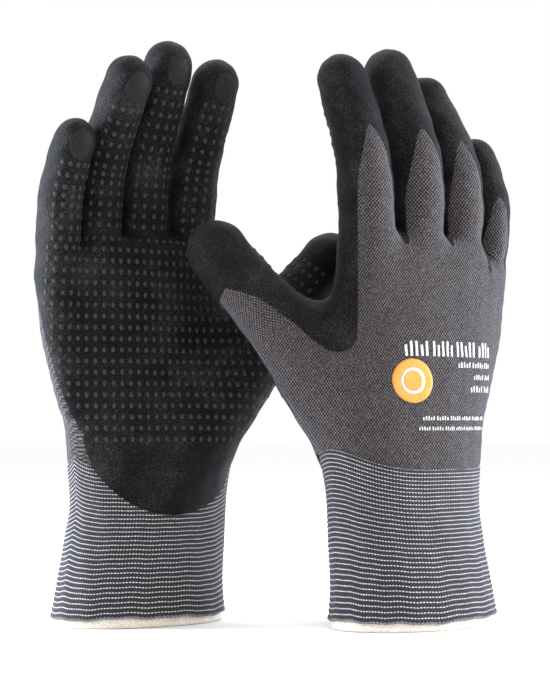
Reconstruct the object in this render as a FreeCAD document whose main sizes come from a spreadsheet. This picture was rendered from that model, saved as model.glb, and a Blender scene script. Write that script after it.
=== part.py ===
import FreeCAD, Part

# A pair of seamless-knit, palm-dipped work gloves, standing on their cuffs.
#
# Frame: +Z up, origin on the floor midway between the two cuffs. Millimetres.
# Both gloves are right-hand gloves of one shape. Glove "palm_out" has its palm facing -Y. Glove "back_out"
# is the same glove turned half a turn about Z, so its back faces -Y.
# Inside a glove's own frame, +X points to the thumb side, -Y out of the palm, +Z to the fingertips.

import math
import os

from FreeCAD import Placement, Rotation, Vector

DOC = FreeCAD.newDocument("work_gloves")
SHEET_NAME = "sizes"

# ---------------------------------------------------------------- driving dimensions
SIZES = {
    "wall": 1.0,  # knit liner
    "coat": 0.6,  # foam coating over the liner
    "print_film": 0.25,
    "lining": 0.8,  # inner face of the cuff
    "hem_lift": 2.5,  # the outer cuff's edge above the lining's edge
    "hem_thread": 0.7,
    "hem_band": 2.6,
    "cuff_top": 72.0,
    "panel_top": 165.0,  # top of the hand panel, where the stalls start
    "glove_x": 46.1,  # cuff's centre from the origin
    "glove_y": 38.3,
    "dip_centre": 83.0,  # the dip line on the palm is a half circle about this height
    "dip_radius": 36.0,
    "dip_side": 2.0,  # the dip stops this far in front of the hand's middle
    "badge_radius": 9.3,
    "finger_root_flex": 60.0,
    "finger_mid_flex": 70.0,
    "thumb_root_flex": 20.0,
    "thumb_mid_flex": 40.0,
}

# Hand tube: height, centre x, centre y, half width, half thickness of each oval section.
HAND_SECTIONS = [
    (0.0, 0.0, 0.0, 40.5, 26.0),
    (20.0, 1.5, -0.5, 38.5, 24.5),
    (52.0, 4.5, -1.0, 36.5, 22.0),
    (80.0, 3.5, -0.5, 38.5, 21.5),
    (119.0, -2.0, 0.0, 42.0, 19.0),
    (150.0, -7.0, -1.0, 44.0, 16.5),
    (165.0, -8.8, -1.5, 43.8, 14.5),
]

# Stalls: root hinge, middle hinge, centre of the end's dome, and the liner's outer radius at each.
STALLS = {
    "index": ((24.0, -0.6, 168.5), (24.0, -2.8, 198.0), (24.0, -18.5, 235.5), (10.3, 10.3, 9.7)),
    "middle": ((0.0, 0.8, 168.5), (0.0, -0.8, 200.0), (0.0, -19.0, 239.6), (10.5, 10.5, 9.8)),
    "ring": ((-22.4, -0.8, 168.5), (-22.4, -3.4, 197.0), (-22.4, -21.0, 231.5), (10.0, 10.0, 9.5)),
    "little": ((-42.6, -5.0, 160.5), (-42.6, -7.0, 184.0), (-42.6, -14.0, 204.5), (8.6, 8.5, 8.2)),
    "thumb": ((50.5, -19.5, 122.0), (66.5, -26.0, 143.4), (78.0, -30.0, 159.5), (13.2, 12.6, 11.8)),
}
THUMB_PAD = Vector(-0.78, 0.0, 0.60)  # the thumb's pad faces the forefinger
THUMB_HEEL = (20.0, -8.0, 82.0)  # where the thumb's base grows out of the hand tube
THUMB_HEEL_RADIUS = 15.0

# Print on the back: a round badge, and bars of plain colour as (left, right, bottom, top).
DIP_X = 4.0
BADGE_CENTRE = (14.0, 104.0)
PRINT_BARS = [(-32.0, 16.0, 114.5, 120.5), (-26.0, -4.0, 101.0, 106.0), (-26.0, 12.0, 85.0, 88.0)]

# Glove: side of the origin that its cuff stands on, and its turn about Z.
GLOVES = {"palm_out": (-1, 0.0), "back_out": (1, 180.0)}

REACH = 80.0  # half size of blocks that only have to pass right through a piece
LAP = 3.1  # a stall's back reaches this far below its root hinge
PANEL_GAP = 0.4  # between a stall's lap and the hand
HINGE_GAP = 0.25  # each side of a hinge stands back this far from its axis
HINGE_ROOM = 1.5  # spare angle on each side of a hinge, degrees


def make_sheet():
    """The driving dimensions as a spreadsheet, one aliased cell each."""
    sheet = DOC.addObject("Spreadsheet::Sheet", SHEET_NAME)
    for row, (alias, value) in enumerate(SIZES.items(), start=1):
        sheet.set(f"A{row}", alias)
        sheet.set(f"B{row}", str(value))
        sheet.setAlias(f"B{row}", alias)
    DOC.recompute()
    return sheet


SHEET = make_sheet()


def size(alias):
    """A driving dimension, read back from the sheet."""
    return float(SHEET.get(alias))


def cell(alias):
    """The same dimension as an expression that a property can be bound to."""
    return f"<<{SHEET_NAME}>>.{alias}"


# How far each surface lies outside the liner's skin.
LINER_SKIN = "0"
LINER_INSIDE = f"-{cell('wall')}"
LINING_INSIDE = f"-{cell('wall')} - {cell('lining')}"
COAT_SKIN = cell("coat")
PRINT_SKIN = cell("print_film")
HEM_SKIN = cell("hem_thread")


# ---------------------------------------------------------------- small builders
def boolean(kind, name, base, tool):
    made = DOC.addObject(f"Part::{kind}", name)
    made.Base, made.Tool = base, tool
    return made


def fuse_all(name, pieces):
    """One solid out of several that overlap."""
    made = DOC.addObject("Part::MultiFuse", name)
    made.Shapes = pieces
    return made


def solid_of(name, shape):
    """A helper solid set straight from Part, for shapes that no primitive makes."""
    made = DOC.addObject("Part::Feature", name)
    made.Shape = shape
    return made


def block(name, low, high):
    """A box between two corners."""
    made = DOC.addObject("Part::Box", name)
    made.Placement = Placement(Vector(*low), Rotation())
    made.Length, made.Width, made.Height = (b - a for a, b in zip(low, high))
    return made


def slab(name, low, high):
    """A level slab across the whole glove, between two heights given as expressions over the sheet."""
    made = block(name, (-2 * REACH, -2 * REACH, 0), (2 * REACH, 2 * REACH, 1))
    made.setExpression("Placement.Base.z", low)
    made.setExpression("Height", f"({high}) - ({low})")
    return made


def hand_loft(name, grow):
    """The hand tube as one solid, its skin moved outwards by grow, an expression over the sheet."""
    ovals = []
    for height, x, y, half_width, half_depth in HAND_SECTIONS:
        oval = DOC.addObject("Part::Ellipse", f"{name}_oval")
        oval.Placement = Placement(Vector(x, y, height), Rotation())
        oval.setExpression("MajorRadius", f"{half_width} + {grow}")
        oval.setExpression("MinorRadius", f"{half_depth} + {grow}")
        ovals.append(oval)
    loft = DOC.addObject("Part::Loft", name)
    loft.Sections = ovals
    loft.Solid = True
    return loft


def cone(name, start, end, radius_start, radius_end, grow):
    """A tapered round bar from start to end."""
    run = Vector(*end) - Vector(*start)
    made = DOC.addObject("Part::Cone", name)
    made.Placement = Placement(Vector(*start), Rotation(Vector(0, 0, 1), run))
    made.Height = run.Length
    made.setExpression("Radius1", f"{radius_start} + {grow}")
    made.setExpression("Radius2", f"{radius_end} + {grow}")
    return made


def ball(name, centre, radius, grow):
    made = DOC.addObject("Part::Sphere", name)
    made.Placement = Placement(Vector(*centre), Rotation())
    made.setExpression("Radius", f"{radius} + {grow}")
    return made


# ---------------------------------------------------------------- hinges
def hinge_frame(stall, hinge):
    """A hinge's centre, its axis, the direction out of the palm side, and the way the stall runs there."""
    root, mid, tip = (Vector(*point) for point in STALLS[stall][:3])
    lower = (mid - root).normalize()
    upper = (tip - mid).normalize()
    run = lower if hinge == "root" else (lower + upper).normalize()
    axis = run.cross(THUMB_PAD).normalize() if stall == "thumb" else Vector(1, 0, 0)
    return root if hinge == "root" else mid, axis, axis.cross(run).normalize(), run


def flex(stall, hinge):
    """How far a stall's hinge bends, in degrees."""
    return size(f"{'thumb' if stall == 'thumb' else 'finger'}_{hinge}_flex")


def opened(stall, hinge):
    """Half the angle that the palm side of a hinge has to stand open at rest."""
    return flex(stall, hinge) / 2 + HINGE_ROOM


def sector(name, stall, hinge, low, high, gap, half_width=REACH):
    """A prism along a hinge's axis between two angles, counted in degrees from the palm side to the tip."""
    centre, axis, palm, run = hinge_frame(stall, hinge)
    apex = centre + run * gap
    steps = 4
    corners = [apex]
    for step in range(steps + 1):
        angle = math.radians(low + (high - low) * step / steps)
        corners.append(apex + (palm * math.cos(angle) + run * math.sin(angle)) * REACH)
    side = axis * half_width
    outline = Part.makePolygon([corner - side for corner in corners + corners[:1]])
    return solid_of(name, Part.Face(outline).extrude(side * 2))


# ---------------------------------------------------------------- stalls
def base_bar(name, stall, grow):
    """The lower part of a stall as a full bar, past both of its hinges."""
    root, mid = (Vector(*point) for point in STALLS[stall][:2])
    radius_root, radius_mid, _ = STALLS[stall][3]
    run = (mid - root).normalize()
    return cone(name, root - run * LAP, mid + run * 2, radius_root, radius_mid, grow)


def tip_bar(name, stall, grow):
    """The upper part of a stall as a full bar with its domed end."""
    mid, tip = (Vector(*point) for point in STALLS[stall][1:3])
    _, radius_mid, radius_tip = STALLS[stall][3]
    run = (tip - mid).normalize()
    bar = cone(f"{name}_bar", mid - run * 4, tip, radius_mid, radius_tip, grow)
    return fuse_all(name, [bar, ball(f"{name}_dome", tip, radius_tip, grow)])


def base_room(name, stall):
    """Where the lower part may be, clear of the hand and of the upper part when they bend."""
    above_root = sector(f"{name}_root", stall, "root", opened(stall, "root"), 270, HINGE_GAP)
    below_mid = sector(f"{name}_mid", stall, "mid", 180 + HINGE_ROOM, 360 - opened(stall, "mid"), -HINGE_GAP)
    return boolean("Common", name, above_root, below_mid)


def tip_room(name, stall):
    return sector(name, stall, "mid", opened(stall, "mid"), 180 - HINGE_ROOM, HINGE_GAP)


def dipped_side(name, stall):
    """The side of a stall's lower part that the dip reaches."""
    centre, _, palm, _ = hinge_frame(stall, "root")
    half_space = Part.makeBox(2 * REACH, 2 * REACH, 2 * REACH, Vector(-REACH, -REACH, 0))
    half_space.Placement = Placement(centre - palm * 3.0, Rotation(Vector(0, 0, 1), palm))
    return solid_of(name, half_space)


def stall_nodes(stall):
    """Liner and coating of one stall, each in a lower and an upper part."""
    nodes = {}
    for part, bar, room in (("base", base_bar, base_room), ("tip", tip_bar, tip_room)):
        name = f"{stall}_{part}"
        space = room(f"{name}_room", stall)
        skin = bar(f"{name}_skin", stall, LINER_SKIN)
        wall = boolean("Cut", f"{name}_wall", skin, bar(f"{name}_inside", stall, LINER_INSIDE))
        foam = boolean("Cut", f"{name}_foam", bar(f"{name}_outside", stall, COAT_SKIN), skin)
        if part == "base":
            foam = boolean("Common", f"{name}_foam_side", foam, dipped_side(f"{name}_side", stall))
        nodes[f"{name}_liner"] = ("Common", wall, space)
        nodes[f"{name}_coat"] = ("Common", foam, space)
    return nodes


# ---------------------------------------------------------------- hand
def thumb_heel(name, grow, further=0.0):
    """The heel of the thumb, up to just below the stall's root hinge or a little further."""
    root, mid = (Vector(*point) for point in STALLS["thumb"][:2])
    end = root - (mid - root).normalize() * (LAP + PANEL_GAP - further)
    return cone(name, THUMB_HEEL, end, THUMB_HEEL_RADIUS, STALLS["thumb"][3][0], grow)


def hand_body(name, grow):
    """The hand tube with the heel of the thumb, as one solid."""
    return fuse_all(name, [hand_loft(f"{name}_tube", grow), thumb_heel(f"{name}_heel", grow)])


def cut_in_turn(name, solid, tools):
    """The solid with each tool taken away, one after the other."""
    for number, tool in enumerate(tools):
        solid = boolean("Cut", f"{name}_{number}", solid, tool)
    return solid


def stall_mouths(name):
    """What the fingers pass through between the hand and the stalls."""
    mouths = []
    for stall, (root, mid, _, radii) in STALLS.items():
        run = (Vector(*mid) - Vector(*root)).normalize()
        low, high = Vector(*root) - run * 9, Vector(*root) + run * 9
        mouths.append(cone(f"{name}_{stall}", low, high, radii[0], radii[0], LINER_INSIDE))
    return mouths


def bend_room(name):
    """Space in front of each finger's root that the bending stall sweeps, and room under the little stall."""
    rooms = []
    for stall in ("index", "middle", "ring", "little"):
        half_width = STALLS[stall][3][0] + size("coat") + PANEL_GAP
        outwards = {"index": 2.0, "little": -4.0}.get(stall, 0.0)
        wedge = sector(f"{name}_{stall}", stall, "root", -opened(stall, "root"), 95, -HINGE_GAP,
                       half_width + abs(outwards))
        wedge.Placement = Placement(Vector(outwards, 0, 0), Rotation())
        rooms.append(wedge)
    x, y, z = STALLS["little"][0]
    inner = x + STALLS["little"][3][0] + size("coat") + PANEL_GAP
    rooms.append(block(f"{name}_shoulder", (-REACH, y - 4, z - LAP - PANEL_GAP), (inner, REACH, 2 * REACH + z)))
    return rooms


def dip_reach(name):
    """The dip on the palm: everything above a half circle, on the palm side of the hand."""
    low, high = size("dip_centre"), size("panel_top") + 20
    round_end = DOC.addObject("Part::Cylinder", f"{name}_round")
    round_end.Height = REACH
    round_end.setExpression("Radius", cell("dip_radius"))
    round_end.setExpression("Placement.Base.y", f"-{cell('dip_side')}")
    round_end.setExpression("Placement.Base.z", cell("dip_centre"))
    round_end.Placement = Placement(Vector(DIP_X, 0, 0), Rotation(Vector(1, 0, 0), 90))
    upper = block(f"{name}_upper", (-REACH, -REACH, low), (REACH, 0, high))
    upper.setExpression("Width", f"{REACH} - {cell('dip_side')}")
    return fuse_all(name, [round_end, upper])


def back_print(name, pieces):
    """Flat print on the back: the given prisms, cut to the film over the liner's skin."""
    film = boolean("Cut", f"{name}_film", hand_loft(f"{name}_top", PRINT_SKIN), hand_loft(f"{name}_under", LINER_SKIN))
    return ("Common", film, fuse_all(f"{name}_prisms", pieces) if len(pieces) > 1 else pieces[0])


def hand_nodes():
    """Everything that moves with the hand: liner, palm coating, cuff, lining, hem and print."""
    skin = hand_body("hand_skin", LINER_SKIN)
    panel_levels = slab("panel_levels", cell("cuff_top"), cell("panel_top"))
    cavity_levels = slab("cavity_levels", "-1", f"{cell('panel_top')} - {cell('wall')}")
    tube_cavity = boolean("Common", "tube_cavity", hand_loft("hand_inside", LINER_INSIDE), cavity_levels)
    mouths, room = stall_mouths("mouth"), bend_room("bend")
    panel = boolean("Common", "hand_panel", skin, panel_levels)
    *early, last = [tube_cavity, thumb_heel("heel_inside", LINER_INSIDE, 1.0)] + mouths + room

    tube = hand_loft("tube_skin", LINER_SKIN)
    tube_inside = hand_loft("tube_inside", LINER_INSIDE)
    outer_cuff = boolean("Cut", "cuff_wall", tube, tube_inside)
    lining = boolean("Cut", "lining_wall", tube_inside, hand_loft("lining_inside", LINING_INSIDE))
    hem = boolean("Cut", "hem_wall", hand_loft("hem_skin", HEM_SKIN), tube)

    foam = boolean("Cut", "palm_foam", hand_body("palm_skin", COAT_SKIN), skin)
    dipped = boolean("Common", "palm_dipped", foam, dip_reach("dip"))
    *cleared, top_room = [slab("above_palm", cell("panel_top"), f"{cell('panel_top')} + {REACH}")] + room

    x, z = BADGE_CENTRE
    badge = DOC.addObject("Part::Cylinder", "badge_prism")
    badge.Height = REACH
    badge.setExpression("Radius", cell("badge_radius"))
    badge.Placement = Placement(Vector(x, 0, z), Rotation(Vector(1, 0, 0), -90))
    bars = [block(f"bar_{number}", (left, 0, low), (right, REACH, high))
            for number, (left, right, low, high) in enumerate(PRINT_BARS)]

    hem_low = cell("hem_lift")
    return {
        "hand_liner": ("Cut", cut_in_turn("hand_hollowed", panel, early), last),
        "palm_coat": ("Cut", cut_in_turn("palm_cleared", dipped, cleared), top_room),
        "cuff": ("Common", outer_cuff, slab("cuff_levels", hem_low, cell("cuff_top"))),
        "cuff_lining": ("Common", lining, slab("lining_levels", "0", cell("cuff_top"))),
        "hem_thread": ("Common", hem, slab("hem_levels", hem_low, f"{hem_low} + {cell('hem_band')}")),
        "print_badge": back_print("badge", [badge]),
        "print_bars": back_print("bars", bars),
    }


# ---------------------------------------------------------------- both gloves
def place_gloves(nodes):
    """Each node once per glove, labelled and placed."""
    made = []
    for glove, (side, turn) in GLOVES.items():
        for name, (kind, base, tool) in nodes.items():
            label = f"{glove}_{name}"
            part = boolean(kind, label, base, tool)
            part.Label = label
            part.Placement = Placement(Vector(0, 0, 0), Rotation(Vector(0, 0, 1), turn))
            part.setExpression("Placement.Base.x", f"{side} * {cell('glove_x')}")
            part.setExpression("Placement.Base.y", f"{-side} * {cell('glove_y')}")
            made.append(part)
    return made


NODES = hand_nodes()
for stall_name in STALLS:
    NODES.update(stall_nodes(stall_name))
PARTS = place_gloves(NODES)
DOC.recompute()

for item in DOC.Objects:
    if "Invalid" in item.State or "Error" in item.State:
        raise RuntimeError(f"{item.Label} did not recompute")
os.makedirs("parts", exist_ok=True)
for part in PARTS:
    if part.Shape.isNull() or not part.Shape.isValid() or not part.Shape.Solids:
        raise RuntimeError(f"{part.Label} is not a valid solid")
    part.Shape.exportStep(f"parts/{part.Label}.step")
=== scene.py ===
import math
from functools import partial

import bpy
import numpy as np
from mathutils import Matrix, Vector


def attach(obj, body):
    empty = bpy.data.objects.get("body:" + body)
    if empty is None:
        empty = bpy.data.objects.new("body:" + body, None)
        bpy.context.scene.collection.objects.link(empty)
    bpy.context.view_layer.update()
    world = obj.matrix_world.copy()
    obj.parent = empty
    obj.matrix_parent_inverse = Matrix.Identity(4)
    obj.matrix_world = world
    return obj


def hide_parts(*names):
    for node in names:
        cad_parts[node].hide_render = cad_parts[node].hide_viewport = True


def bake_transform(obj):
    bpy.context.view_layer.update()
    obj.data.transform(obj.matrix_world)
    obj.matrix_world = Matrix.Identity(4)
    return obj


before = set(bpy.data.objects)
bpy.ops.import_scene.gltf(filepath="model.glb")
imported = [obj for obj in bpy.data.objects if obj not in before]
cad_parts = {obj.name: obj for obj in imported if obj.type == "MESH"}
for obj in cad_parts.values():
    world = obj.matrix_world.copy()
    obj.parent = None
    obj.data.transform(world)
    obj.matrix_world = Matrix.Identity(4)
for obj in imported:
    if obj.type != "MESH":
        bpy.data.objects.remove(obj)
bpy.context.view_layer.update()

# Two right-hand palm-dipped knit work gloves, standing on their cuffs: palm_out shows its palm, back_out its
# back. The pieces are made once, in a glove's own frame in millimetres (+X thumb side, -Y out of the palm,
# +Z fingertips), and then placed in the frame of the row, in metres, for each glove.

MM = 0.001
CUFF_X, CUFF_Y = 46.1, 38.3  # cuff's centre from the origin
SHEET = 0.9  # how far the knit, coated or not, reaches inwards from the skin
COAT_LIFT = (0.14, 0.36)  # the coating's step at its edge, and what it gains further in
DOT_ROW, DOT_STEP = 4.75, 3.75  # between rows of dots, and along a row
DOT_SIZE = (1.0, 1.3, 0.34)  # half width, half length and height of a dot
DOT_FOOT = 0.46  # from the skin to the foot of dots and fingertip ovals, just inside the coating's top
STALL_RADIUS, THUMB_RADIUS = 11.5, 14  # typical, for spreading dots and stitches round a stall
CUFF_SHEET, LINING_SHEET = 0.85, 0.8  # thickness of the cuff and of its cream lining
LINING_GAP, LINING_TOP = 0.95, 60.0  # how far inside the skin the lining lies, and how high it reaches
SKIN_BOX, SKIN_FOOT = ((-56, -48, 40), (96, 32, 256)), 43.0  # where the skin is meshed, and where it starts
GLOVES = {"palm_out": (-1, 1), "back_out": (1, -1)}  # side of the origin, and the sign of a half turn about Z
GRID = 1.1  # spacing of the surface mesh

# ---------------------------------------------------------------- shape of a glove
# Hand tube: height, centre x, centre y, half width, half depth
TUBE = np.array([
    (0.0, 0.0, 0.0, 40.5, 26.0),
    (20.0, 1.2, -0.5, 38.5, 24.5),
    (38.0, 3.2, -0.8, 37.3, 23.3),
    (52.0, 4.4, -1.0, 36.8, 22.5),
    (80.0, 3.5, -0.8, 38.2, 21.5),
    (100.0, 0.8, -0.5, 40.0, 20.3),
    (119.0, -1.8, -0.2, 41.4, 18.8),
    (150.0, -6.2, -0.8, 42.6, 16.6),
    (168.0, -8.6, -1.5, 43.4, 14.6),
])
# Stalls: points of the centre line, each with its half width and half depth
STALLS = {
    "index": [(24.0, -0.4, 140, 10.4, 11), (24.0, -0.4, 168, 11.0, 12.4), (24.0, -1.6, 184, 11.0, 12.4),
              (24.0, -3.6, 199, 10.8, 12.0), (24.0, -8.6, 213, 10.5, 11.4), (24.2, -14.2, 226, 10.2, 10.8),
              (24.4, -18.2, 235.4, 9.9, 10.3)],
    "middle": [(0.4, 0.6, 140, 10.4, 11), (0.2, 0.6, 168, 11.0, 12.6), (0.1, 0.0, 184, 11.0, 12.6),
               (0.0, -1.6, 200, 10.9, 12.2), (0.0, -6.8, 214, 10.6, 11.6), (0.0, -13.2, 228, 10.3, 11.0),
               (0.0, -19.2, 240.6, 10.0, 10.4)],
    "ring": [(-22.0, -0.6, 140, 10.0, 10.6), (-22.3, -0.8, 166, 10.2, 12.0), (-22.5, -1.8, 182, 10.2, 12.0),
             (-22.4, -4.0, 197, 10.1, 11.7), (-22.2, -10.4, 211, 9.9, 11.2), (-21.8, -18.0, 223, 9.7, 10.7),
             (-21.3, -23.2, 231.4, 9.5, 10.2)],
    "little": [(-34.5, -2.5, 94, 3.5, 5.0), (-38.2, -3.0, 112, 6.2, 7.6), (-41.2, -3.6, 132, 7.8, 9.0),
               (-42.4, -5.0, 156, 8.4, 10.8), (-42.7, -6.2, 171, 8.5, 11.0), (-42.6, -7.6, 184, 8.5, 10.8),
               (-42.2, -10.6, 194, 8.4, 10.2), (-41.6, -14.4, 204.6, 8.3, 9.4)],
}
# The thumb's centre line, each point with its radius
THUMB = [(14.0, -8.0, 70, 17.5), (34.0, -13.5, 98, 17.5), (50.5, -19.5, 122, 15.2),
         (59.3, -23.3, 133.0, 13.8), (67.6, -26.6, 143.4, 13.0), (74.4, -28.9, 151.6, 12.7),
         (79.8, -30.6, 158.6, 12.4)]
THUMB_BACK = np.array((0.78, 0.376, -0.493))  # the way the thumb's back faces
VIEWER = np.array((0.545, 0.839, 0.0))  # level, towards the one who looks at the back, 33 degrees round


def curve_points(points, steps=5):
    """A smooth line through the points, each with its radii, as an array."""
    p = np.array(points, float)
    p = np.vstack([2 * p[0] - p[1], p, 2 * p[-1] - p[-2]])
    out = []
    for i in range(1, len(p) - 2):
        for s in range(steps):
            t = s / steps
            out.append(0.5 * (2 * p[i] + (p[i + 1] - p[i - 1]) * t
                              + (2 * p[i - 1] - 5 * p[i] + 4 * p[i + 1] - p[i + 2]) * t * t
                              + (3 * p[i] - p[i - 1] - 3 * p[i + 1] + p[i + 2]) * t ** 3))
    out.append(p[-2])
    return np.array(out)


def unit(v):
    """Each row's direction, as a row of length 1."""
    return v / np.maximum(np.linalg.norm(v, axis=1), 1e-9)[:, None]


def smooth_min(a, b, k):
    """The smaller of a and b, rounded off where they differ by less than k."""
    h = np.clip(0.5 + 0.5 * (b - a) / k, 0, 1)
    return b + (a - b) * h - k * h * (1 - h)


def tube_at(z):
    """Centre and half sizes of the hand tube at each height."""
    table = curve_points(TUBE)
    return [np.interp(z, table[:, 0], table[:, i]) for i in (1, 2, 3, 4)]


def tube_field(p):
    """Roughly the distance to the hand, which is closed by a soft edge between the fingers."""
    cx, cy, a, b = tube_at(p[:, 2])
    u, v = p[:, 0] - cx, p[:, 1] - cy
    k0 = np.sqrt((u / a) ** 2 + (v / b) ** 2) + 1e-9
    k1 = np.sqrt((u / a ** 2) ** 2 + (v / b ** 2) ** 2) + 1e-9
    d = k0 * (k0 - 1) / k1
    top = np.interp(p[:, 0], [-52, -36, -28, 12, 40], [153, 157, 164, 166.5, 164])
    return -smooth_min(-d, top - p[:, 2], 7.0)


def line_frame(p, line):
    """For each point, at the nearest place of the line: the offset from it (3 numbers), how far past an end
    it is, how far along the line, the two radii there, and the stretch of the line."""
    best = np.full(len(p), 1e9)
    result = np.zeros((len(p), 8))
    start = 0.0
    for i in range(len(line) - 1):
        a, b = line[i, :3], line[i + 1, :3]
        d = b - a
        length = np.linalg.norm(d)
        t = (p - a) @ d / length ** 2
        lo = -1e9 if i == 0 else 0.0
        hi = 1e9 if i == len(line) - 2 else 1.0
        tc = np.clip(t, lo, hi)
        at = np.clip(tc, 0, 1)
        foot = a + np.outer(tc, d)
        off = p - foot
        dist = (off ** 2).sum(1)
        dist = dist + ((tc - at) * length) ** 2
        better = dist < best
        best = np.where(better, dist, best)
        past = np.where(tc > 1, (tc - 1) * length, np.where(tc < 0, tc * length, 0))
        radii = line[i, 3:] + np.outer(at, line[i + 1, 3:] - line[i, 3:])
        if radii.shape[1] == 1:
            radii = np.repeat(radii, 2, axis=1)
        row = np.column_stack([off, past, start + tc * length, radii, np.full(len(p), i)])
        result[better] = row[better]
        start += length
    return result


def stall_field(p, line):
    """Roughly the distance to a stall of oval section with a domed end."""
    r = line_frame(p, line)
    across = r[:, 0]
    depth = np.sqrt((r[:, 1:3] ** 2).sum(1))
    w, d = r[:, 5], r[:, 6]
    end = r[:, 3] / np.where(r[:, 3] > 0, d * 1.06, d)
    k0 = np.sqrt((across / w) ** 2 + (depth / d) ** 2 + end ** 2)
    k1 = np.sqrt((across / w ** 2) ** 2 + (depth / d ** 2) ** 2 + (end / d) ** 2) + 1e-9
    return np.where(k0 > 0.05, k0 * (k0 - 1) / k1, -w)


LINES = {name: curve_points(points) for name, points in STALLS.items()}
LINES["thumb"] = curve_points(THUMB)


def near(p, line, margin):
    """Which points are in the line's box, grown by margin."""
    low, high = line[:, :3].min(0) - margin, line[:, :3].max(0) + margin
    return np.all((p >= low) & (p <= high), axis=1)


def glove_field(p):
    """Below zero inside the glove, roughly the distance to its skin in millimetres."""
    f = tube_field(p)
    inside = near(p, LINES["thumb"], 34)
    web = 13.0 + 10.0 * np.clip((p[inside, 2] - 112) / 20, 0, 1)  # fuller between thumb and forefinger
    f[inside] = smooth_min(f[inside], stall_field(p[inside], LINES["thumb"]), web)
    fingers = np.full(len(p), 60.0)
    for name in STALLS:
        inside = near(p, LINES[name], 20)
        fingers[inside] = np.minimum(fingers[inside], stall_field(p[inside], LINES[name]))
    return smooth_min(f, fingers, 5.0)


def surface_net(low, high, step):
    """The glove's skin as points and quads: a point in each cell of the grid that the skin passes through."""
    low, high = np.array(low, float), np.array(high, float)
    n = np.ceil((high - low) / step).astype(int) + 1
    axes = [low[i] + step * np.arange(n[i]) for i in range(3)]
    field = np.empty(tuple(n), np.float32)
    for k in range(n[2]):
        gx, gy = np.meshgrid(axes[0], axes[1], indexing="ij")
        p = np.column_stack([gx.ravel(), gy.ravel(), np.full(gx.size, axes[2][k])])
        field[:, :, k] = glove_field(p).reshape(n[0], n[1])
    sign = field < 0
    corners = [(i, j, k) for i in (0, 1) for j in (0, 1) for k in (0, 1)]
    m = n - 1

    def part(array, c):
        return array[c[0]:c[0] + m[0], c[1]:c[1] + m[1], c[2]:c[2] + m[2]]

    total = sum(part(sign, c).astype(np.int8) for c in corners)
    active = (total > 0) & (total < 8)
    index = -np.ones(tuple(m), np.int64)
    cells = np.argwhere(active)
    index[tuple(cells.T)] = np.arange(len(cells))
    points = np.zeros((len(cells), 3))
    count = np.zeros(len(cells))
    for c in corners:
        for axis in range(3):
            if c[axis]:
                continue
            d = list(c)
            d[axis] = 1
            f0 = field[tuple((cells + c).T)].astype(float)
            f1 = field[tuple((cells + d).T)].astype(float)
            cross = (f0 < 0) != (f1 < 0)
            t = f0[cross] / (f0[cross] - f1[cross])
            at = np.tile(np.array(c, float), (cross.sum(), 1))
            at[:, axis] += t
            points[cross] += at
            count[cross] += 1
    points = low + step * (cells + points / count[:, None])
    quads = []
    for axis in range(3):
        u, v = (axis + 1) % 3, (axis + 2) % 3
        d = np.zeros(3, int)
        d[axis] = 1
        edge = np.argwhere(sign[:n[0] - d[0], :n[1] - d[1], :n[2] - d[2]] != sign[d[0]:, d[1]:, d[2]:])
        edge = edge[(edge[:, u] > 0) & (edge[:, v] > 0) & (edge[:, u] < m[u]) & (edge[:, v] < m[v])]
        du, dv = np.zeros(3, int), np.zeros(3, int)
        du[u], dv[v] = 1, 1
        quad = np.column_stack([index[tuple((edge - a).T)] for a in (du + dv, dv, 0 * du, du)])
        flip = ~sign[tuple(edge.T)]
        quad[flip] = quad[flip][:, ::-1]
        quads.append(quad)
    return points, np.vstack(quads)


def skin_gradient(p, h=0.25):
    """The field's slope at each point: the skin's direction, not yet of length 1."""
    g = np.empty_like(p)
    for axis in range(3):
        d = np.zeros(3)
        d[axis] = h
        g[:, axis] = (glove_field(p + d) - glove_field(p - d)) / (2 * h)
    return g


def on_skin(p, rounds=2):
    """The points moved onto the glove's skin, and the skin's direction there."""
    for _ in range(rounds):
        g = skin_gradient(p)
        p = p - glove_field(p)[:, None] * g / np.maximum((g ** 2).sum(1), 0.05)[:, None]
    return p, unit(skin_gradient(p))


def relax(points, quads, rounds=4):
    """The mesh evened out and put back on the skin, and the skin's direction at its points."""
    pairs = np.vstack([quads[:, [i, (i + 1) % 4]] for i in range(4)])
    for _ in range(rounds):
        total = np.zeros_like(points)
        count = np.zeros(len(points))
        for a, b in ((0, 1), (1, 0)):
            np.add.at(total, pairs[:, a], points[pairs[:, b]])
            np.add.at(count, pairs[:, a], 1)
        points = 0.4 * points + 0.6 * total / np.maximum(count, 1)[:, None]
    return on_skin(points)


def uneven(p):
    """Small unevenness of a soft glove, in millimetres."""
    x, y, z = p.T
    return (0.28 * np.sin(x * 0.21 + z * 0.13 + 1.0) * np.sin(z * 0.17 - y * 0.2 + 0.5)
            + 0.14 * np.sin(x * 0.55 - z * 0.37 + 2.0) * np.sin(z * 0.43 + y * 0.5))


def uneven_normal(p, normal, h=0.3):
    """The skin's direction with its unevenness taken into account."""
    slope = np.column_stack([(uneven(p + d) - uneven(p - d)) / (2 * h) for d in np.eye(3) * h])
    return unit(normal - slope + normal * (slope * normal).sum(1)[:, None])


# ---------------------------------------------------------------- where the dip reaches
# The dip's edge on the back between forefinger and thumb: (across the view, height)
WEB_EDGE = np.array([
    (24.8, 400), (24.8, 130), (25.4, 121), (28.2, 116.8), (33.4, 115.6), (38.1, 117.0), (45.1, 122.0),
    (49.8, 126.7), (55.6, 130.8), (61.5, 135.4), (67.3, 138.9), (73.2, 140.9), (80.4, 142.6), (82.2, 139.5),
    (83.4, 136.0), (84.0, 120.0)])
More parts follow.
